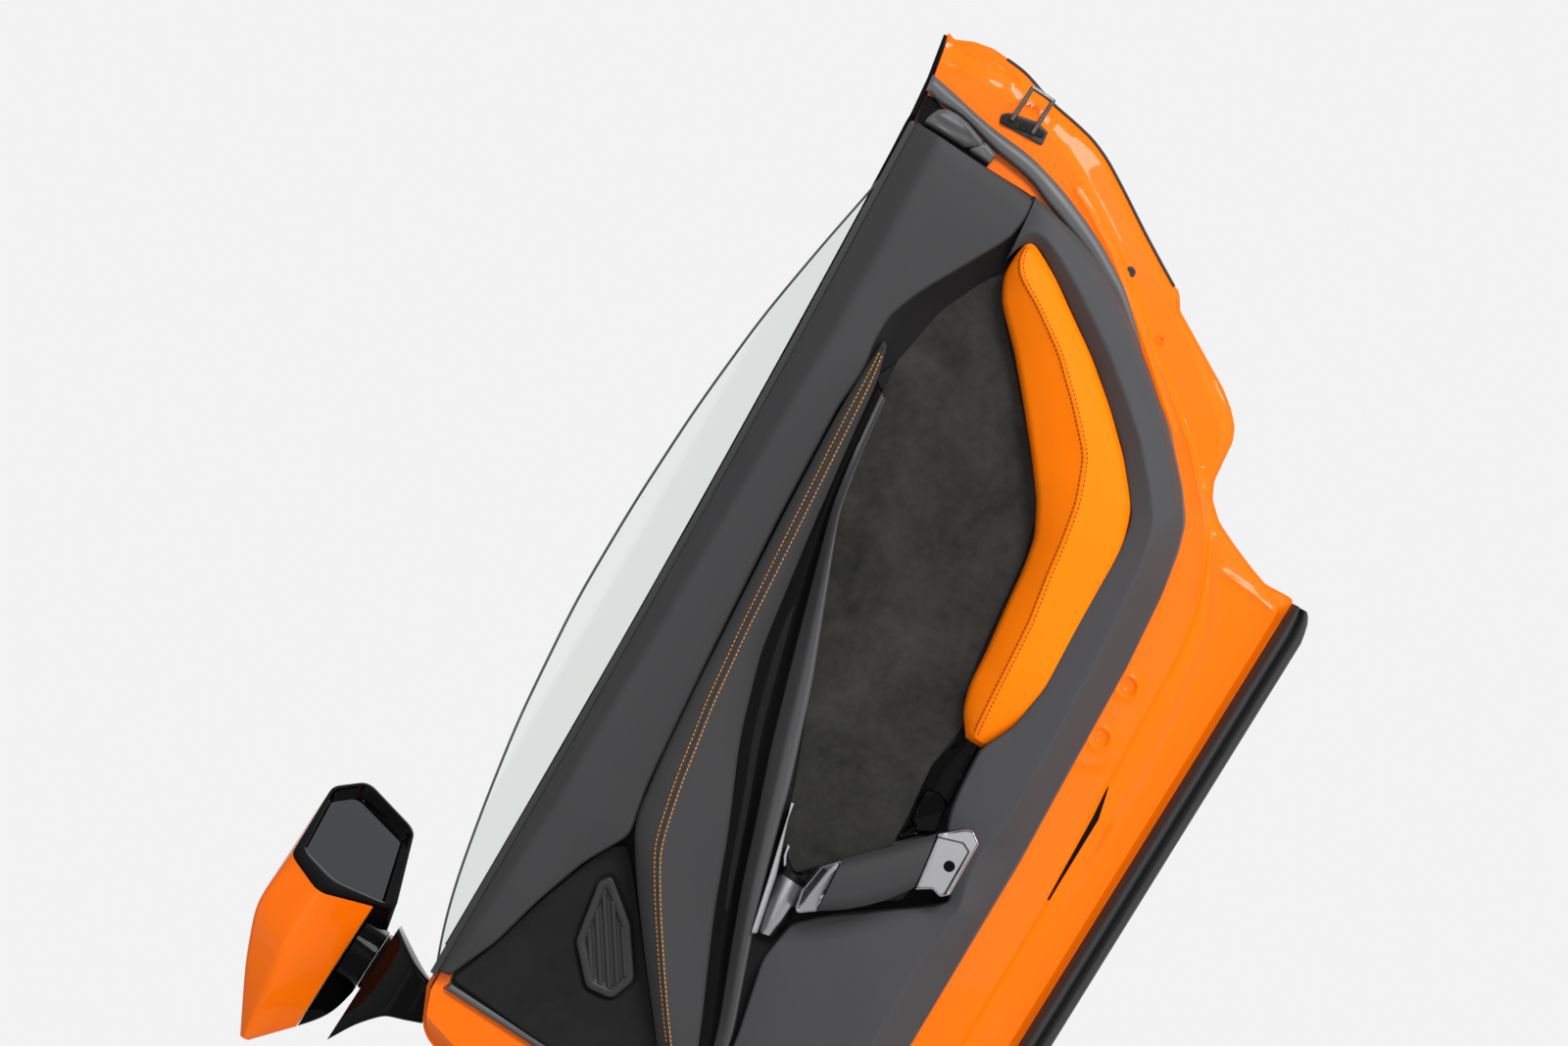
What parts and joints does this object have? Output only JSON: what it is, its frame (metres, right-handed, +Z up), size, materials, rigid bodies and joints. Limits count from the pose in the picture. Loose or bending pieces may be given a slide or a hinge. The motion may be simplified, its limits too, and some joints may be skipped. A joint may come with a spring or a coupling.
{
  "type": "raised scissor door of a sports car",
  "caption": "Scissor-type car door, shown raised on its tilted front hinge, with mirror, side glass, leather door card, seals and gas strut.",
  "frame": {"origin": "centre of the hinge bracket's face that meets the car body", "axes": "+X to the rear of the car, +Y outboard (the car's right), +Z up; the door stands raised as in the picture"},
  "size_m": [1.1797, 0.3928, 1.357],
  "materials": {
    "paint": "gloss, clear-coated orange",
    "black_paint": "gloss black",
    "glass": "clear with a faint green tint",
    "dark_leather": "fine grain, satin",
    "orange_leather": "fine grain, satin",
    "suede": "brushed suede",
    "dark_plastic": "fine texture",
    "silver": "satin",
    "rubber": "matt",
    "steel": "zinc plated",
    "cast": "black coated",
    "mirror": "silvered"
  },
  "bodies": {
    "bracket": {"hinge_bracket": "cast", "hinge_pin": "steel"},
    "mirror_head": {"mirror_bezel": "black_paint", "mirror_cap": "paint", "mirror_housing": "black_paint", "mirror_glass": "mirror"},
    "cylinder": {"strut_cylinder": "black_paint"},
    "rod": {"strut_rod": "steel"},
    "door": {"belt_end_cap": "dark_leather", "belt_moulding": "black_paint", "belt_seal": "rubber", "belt_trim": "dark_leather", "bolster": "dark_leather", "card_surround": "dark_leather", "channel_trim": "dark_leather", "elbow_pad": "orange_leather", "handle_bezel_front": "silver", "handle_bezel_rear": "silver", "handle_cup": "dark_plastic", "hinge_arm": "cast", "inner_frame": "paint", "lever_plate": "dark_plastic", "mirror_foot": "black_paint", "outer_handle": "paint", "outer_skin": "paint", "perimeter_seal": "rubber", "pocket_panel": "suede", "pull_handle": "dark_leather", "release_lever": "silver", "side_glass": "glass", "sill_seal": "rubber", "speaker_grille": "dark_plastic", "speaker_panel": "dark_plastic", "striker_base": "steel", "striker_loop": "steel", "switch_cup": "black_paint", "window_switch": "black_paint"}
  },
  "joints": [
    {"name": "door_swing", "type": "hinge", "parent": "bracket", "child": "door", "pos_m": [0.06, 0.075, 0.055], "axis": [-0.0432, -0.9893, 0.1392], "range_deg": [-58, 0]},
    {"name": "mirror_fold", "type": "hinge", "parent": "door", "child": "mirror_head", "pos_m": [-0.10412, 0.2196, 0.26446], "axis": [0.8418, 0.0281, -0.539], "range_deg": [0, 60]},
    {"name": "strut_pivot", "type": "hinge", "parent": "bracket", "child": "cylinder", "pos_m": [-0.15666, 0.04156, -0.00563], "axis": [-0.0432, -0.9893, 0.1392], "range_deg": [-4.91, 0.5]},
    {"name": "strut_slide", "type": "slide", "parent": "cylinder", "child": "rod", "axis": [0.9936, -0.028, 0.1094], "range_m": [-0.0524, 0.001]}
  ],
  "couplings": [
    {"joint": "strut_pivot", "follows": "door_swing", "ratio": 0.076},
    {"joint": "strut_slide", "follows": "door_swing", "m_per_rad": 0.05076}
  ]
}
